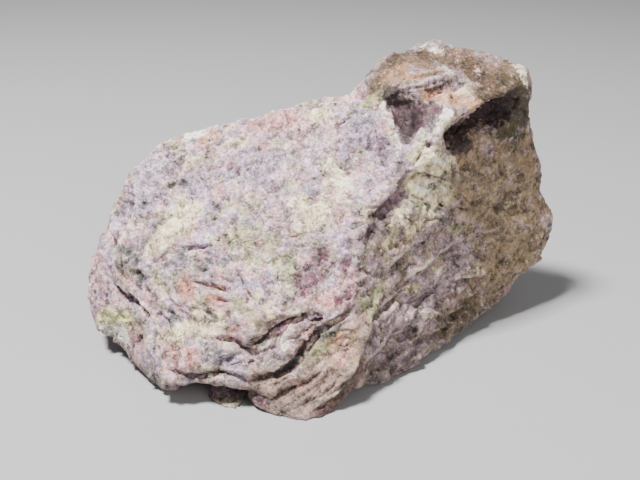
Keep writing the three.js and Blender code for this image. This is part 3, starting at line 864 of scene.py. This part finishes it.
# The painted highlight on the high side of a ledge's edge: how far out it is looked for, how far in it lies,
# and its width.
RIM_REACH = 1.6 * MM
RIM_INSET = 0.7 * MM
RIM_WIDTH = 0.4 * MM

# How deep a hollow has to be to count in full for its painted shade, where the weathered back comes in, and
# the painted shade by the floor.
FULL_HOLLOW = 0.35 * MM
WEATHERED_BACK = (14 * MM, 30 * MM)
NEAR_FLOOR = (16 * MM, 2 * MM)

BUMP_DEPTH = 0.6 * MM


def patch_masks(skin):
    """How strong each kind of patch is at each point, by its name."""
    wobble = 0.5 * drift(skin.places, 3.5 * MM, 21) + 0.3 * drift(skin.places, 1.3 * MM, 22)
    masks = {name: np.zeros(len(skin.places)) for name in sorted(PATCH_TONES)}
    for name, pixels, radius, strength in PATCHES:
        index, away, _ = skin.near(trail(pixels, step=5), 1.6 * radius)
        fade = smooth_rise(1.4, 0.35, away / radius + wobble[index])
        masks[name][index] = np.maximum(masks[name][index], strength * fade)
    return masks


def gap_shade_mask(skin):
    """How far each point lies in a crack, a gap under a ledge, a cleft or a pit, where shade is painted."""
    gaps = np.zeros(len(skin.places))
    lines = [(pixels, width, min(1, depth / MM)) for pixels, width, depth in CRACKS]
    lines += [(pixels, gap_width(under), min(1, 1.4 * under / MM)) for pixels, _, _, under in LEDGES]
    lines += [(pixels, width, 1) for pixels, width in CLEFT_SHADE]
    for pixels, width, depth in lines:
        index, gap = gap_along(skin, pixels, 1.3 * width)
        gaps[index] = np.maximum(gaps[index], depth * gap)
    for pixel, radius, _ in PITS:
        index, away, _ = skin.near([on_stone(*pixel)], radius)
        gaps[index] = np.maximum(gaps[index], 1 - away / radius)
    return gaps


def rim_mask(skin):
    """How far each point lies in the painted highlight along the high edge of a ledge."""
    rims = np.zeros(len(skin.places))
    for pixels, drop, _, _ in LEDGES:
        index, _, side, full = beside(skin, pixels, RIM_REACH)
        rim = min(1, drop / MM) * full * np.exp(-((side + RIM_INSET) / RIM_WIDTH) ** 2)
        rims[index] = np.maximum(rims[index], rim)
    return rims


def paint_masks(skin):
    """Writes each kind of patch, and what kind of ground each place is, on the stone's points."""
    ground = unit(skin.eased(skin.normals, THINNED_GROUND_EASING))
    sunk = np.einsum("ij,ij->i", skin.eased(skin.places, HOLLOW_EASING) - skin.places, skin.normals)
    masks = patch_masks(skin)
    quiet = np.max([share * masks[name] for name, share in QUIET_SHARES.items()], axis=0)
    masks["quiet"] = np.clip(quiet, 0, 1)
    masks["gap"] = gap_shade_mask(skin)
    masks["rim"] = rim_mask(skin)
    # How sunk each point is: painted shade in hollows, painted highlight on crests.
    masks["hollow"] = np.clip(sunk / FULL_HOLLOW, -1, 1)
    masks["flank"] = facing(ground, FLANK_NORMAL)
    masks["far"] = smooth_rise(*WEATHERED_BACK, skin.places[:, 1])
    # Where the painted shade by the floor comes in.
    masks["low"] = smooth_rise(*NEAR_FLOOR, skin.places[:, 2])
    for name, values in masks.items():
        layer = skin.mesh.attributes.new(name, "FLOAT", "POINT")
        layer.data.foreach_set("value", values.astype(np.float32))


def drifting_colours(stone, flank, weathered):
    """The colours of the ground, which drift into one another."""
    cloud, over = stone.cloud, stone.over
    ground = over(LILAC, PINK, cloud(8 * MM, 2, 8, 0.72).rise(0.46, 0.56))
    for colour, amount, size, salt, roughness, span in DRIFTS:
        ground = over(ground, colour, amount * cloud(size, salt, 8, roughness).rise(*span))
    ground = over(ground, MAUVE, 0.75 * flank)
    ground = over(ground, BROWN, 0.60 * weathered)
    for colour, amount, size, salt, roughness, span in FLANK_DRIFTS:
        ground = over(ground, colour, amount * flank * cloud(size, salt, 5, roughness).rise(*span))
    return ground


def with_patches(stone, ground, edge):
    """The ground with each kind of patch laid over it. The edges of the patches are ragged."""
    for name, colour in PATCH_TONES.items():
        amount = (stone.mask(name) + edge).rise(0.25, 0.85)
        ground = stone.over(ground, colour, 0.88 * amount * stone.mask(name).rise(0.0, 0.3))
    return ground


def with_grain(stone, ground, plain, flank):
    """The ground with pale and dark grain, in the colour of each place, and weakest where it is darkest."""
    cloud, over = stone.cloud, stone.over
    pale = 0.60 * cloud(3.4 * MM, 25, 4, 0.75).rise(0.48, 0.60)
    pale = pale + 0.70 * cloud(1.7 * MM, 6, 3, 0.75).rise(0.48, 0.62)
    pale = pale + 0.45 * cloud(0.7 * MM, 27, 1, 0.6).rise(0.52, 0.64)
    pale = pale + 0.60 * flank * cloud(5.5 * MM, 33, 3, 0.6).rise(0.50, 0.62)
    dark = 0.46 * cloud(3.6 * MM, 24, 4, 0.75).rise(0.50, 0.60)
    dark = dark + 0.46 * cloud(1.9 * MM, 15, 3, 0.75).rise(0.48, 0.62)
    dark = dark + (0.32 - 0.20 * flank) * cloud(0.7 * MM, 28, 1, 0.6).rise(0.52, 0.64)
    dark = dark + 0.30 * flank * cloud(6.5 * MM, 34, 3, 0.6).rise(0.50, 0.60)
    ground = stone.dimmed(ground, (1.0 + (0.35 + 0.85 * plain) * pale) * (1.0 - 0.85 * dark))
    ground = over(ground, OLIVE, 0.16 * dark)
    return over(ground, WHITE, 0.25 * plain * cloud(1.1 * MM, 31, 4, 0.75).rise(0.50, 0.64))


def rhyolite():
    """Fine-grained volcanic stone: lilac and pink with cream, ash and sage, plum and brown in places."""
    stone = Finish("rhyolite")
    cloud, mask, over = stone.cloud, stone.mask, stone.over
    fine = cloud(0.8 * MM, 1, 3, 0.7)
    medium = cloud(2.4 * MM, 12, 4, 0.65)
    hollow = mask("hollow")
    flank = (mask("flank") + (medium - 0.5) * 0.8).rise(0.3, 0.8)
    weathered = (mask("far") + (medium - 0.5) * 1.2).rise(0.3, 0.9)
    plain = (1.0 - 0.85 * mask("quiet")) * (1.0 - 0.55 * flank)
    ragged = 0.4 * cloud(4 * MM, 9, 4) + 0.6 * medium
    ground = drifting_colours(stone, flank, weathered)
    ground = with_patches(stone, ground, (ragged - 0.5) * 3.2 + (fine - 0.5) * 1.6)
    ground = with_grain(stone, ground, plain, flank)
    # Thin dark wisps along the seams.
    wisp = stone.seams(4.2 * MM, 29).rise(0.06, 0.0) * cloud(6 * MM, 30, 3, 0.7).rise(0.48, 0.60)
    ground = over(ground, DARK_WISP_AND_SHADE, (0.22 + 0.45 * mask("cream")) * wisp * fine.rise(0.4, 0.6))
    # Painted shade in hollows, painted highlight on crests and on the high edges of ledges, painted shade
    # near the floor, and painted shade in gaps.
    ground = over(ground, DARK_WISP_AND_SHADE, 0.36 * (hollow + (fine - 0.5) * 0.8).rise(0.15, 1.0))
    ground = over(ground, WHITE, 0.15 * plain * (0 - hollow + (fine - 0.5) * 1.6).rise(0.20, 1.1))
    ground = over(ground, WHITE, 0.55 * (mask("rim") + (fine - 0.5) * 0.8).rise(0.2, 0.9) * plain)
    ground = over(ground, DARK_WISP_AND_SHADE, 0.45 * mask("low"))
    # Painted shade in cracks, under ledges, in clefts and in pits.
    ground = over(ground, DARK_WISP_AND_SHADE, 0.92 * (mask("gap") + (fine - 0.5) * 0.6).rise(0.2, 0.75))
    stone.feed(stone.shader.inputs["Base Color"], ground)
    stone.feed(stone.shader.inputs["Roughness"], 0.62 + 0.3 * cloud(1.2 * MM, 10, 2))
    height = 0.55 * fine + 0.25 * cloud(0.35 * MM, 11, 2) + 0.2 * medium - 0.25 * wisp
    bump = stone.add("ShaderNodeBump", {}, {"Strength": 1.0, "Distance": BUMP_DEPTH, "Height": height})
    stone.feed(stone.shader.inputs["Normal"], bump)
    return stone.material


def thin_out(stone):
    """Brings the skin down to its number of triangles, with smooth shading."""
    thin = stone.modifiers.new("thin", "DECIMATE")
    triangles = sum(len(p.vertices) - 2 for p in stone.data.polygons)
    thin.ratio = SKIN_FACES / triangles
    applied(stone)
    stone.data.shade_smooth()


stone.data.materials.append(rhyolite())

thin_out(stone)
skin = Skin(stone)
keep_in_box(skin)
skin.plant()
paint_masks(skin)

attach(stone, "root")
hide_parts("stone")


# ---------------------------------------------------------------- stage

FLOOR_SIZE = 4
FLOOR_TONE = (0.38, 0.38, 0.38, 1)
FLOOR_ROUGHNESS = 0.9
SKY_TONE = (0.82, 0.82, 0.84, 1)
SKY_STRENGTH = 0.26

# The lamps, by name: the place, the side of the square and the power in watts. Both shine at one place.
LAMPS = {
    "key": ((-0.26, -0.14, 0.80), 0.14, 20.5),
    "fill": ((0.45, -0.45, 0.25), 0.40, 2.1),
}
LIT_PLACE = Vector((0, 0, 0.03))


def plain_floor():
    """A wide pale floor at the level that the stone stands on."""
    bpy.ops.mesh.primitive_plane_add(size=FLOOR_SIZE)
    floor = bpy.context.object
    floor.name = "floor"
    paint = bpy.data.materials.new("pale_floor")
    paint.use_nodes = True
    shader = paint.node_tree.nodes["Principled BSDF"]
    shader.inputs["Base Color"].default_value = FLOOR_TONE
    shader.inputs["Roughness"].default_value = FLOOR_ROUGHNESS
    floor.data.materials.append(paint)


def lamp(name, place, size, power):
    """A soft square lamp that shines at the stone."""
    light = bpy.data.lights.new(name, "AREA")
    light.size = size
    light.energy = power
    thing = bpy.data.objects.new(name, light)
    thing.location = place
    thing.rotation_euler = (LIT_PLACE - Vector(place)).to_track_quat("-Z", "Y").to_euler()
    bpy.context.scene.collection.objects.link(thing)


def soft_sky():
    """Pale light from all around."""
    world = bpy.data.worlds.new("soft_sky")
    world.use_nodes = True
    background = world.node_tree.nodes["Background"]
    background.inputs["Color"].default_value = SKY_TONE
    background.inputs["Strength"].default_value = SKY_STRENGTH
    bpy.context.scene.world = world


def place_camera():
    """The camera, at its place and with its lens."""
    lens = bpy.data.cameras.new("camera")
    lens.lens = LENS
    lens.sensor_width = SENSOR
    camera = bpy.data.objects.new("camera", lens)
    camera.location = CAMERA_PLACE
    camera.rotation_euler = CAMERA_TURN
    bpy.context.scene.collection.objects.link(camera)
    bpy.context.scene.camera = camera


plain_floor()
for name, (place, size, power) in LAMPS.items():
    lamp(name, place, size, power)
soft_sky()
place_camera()
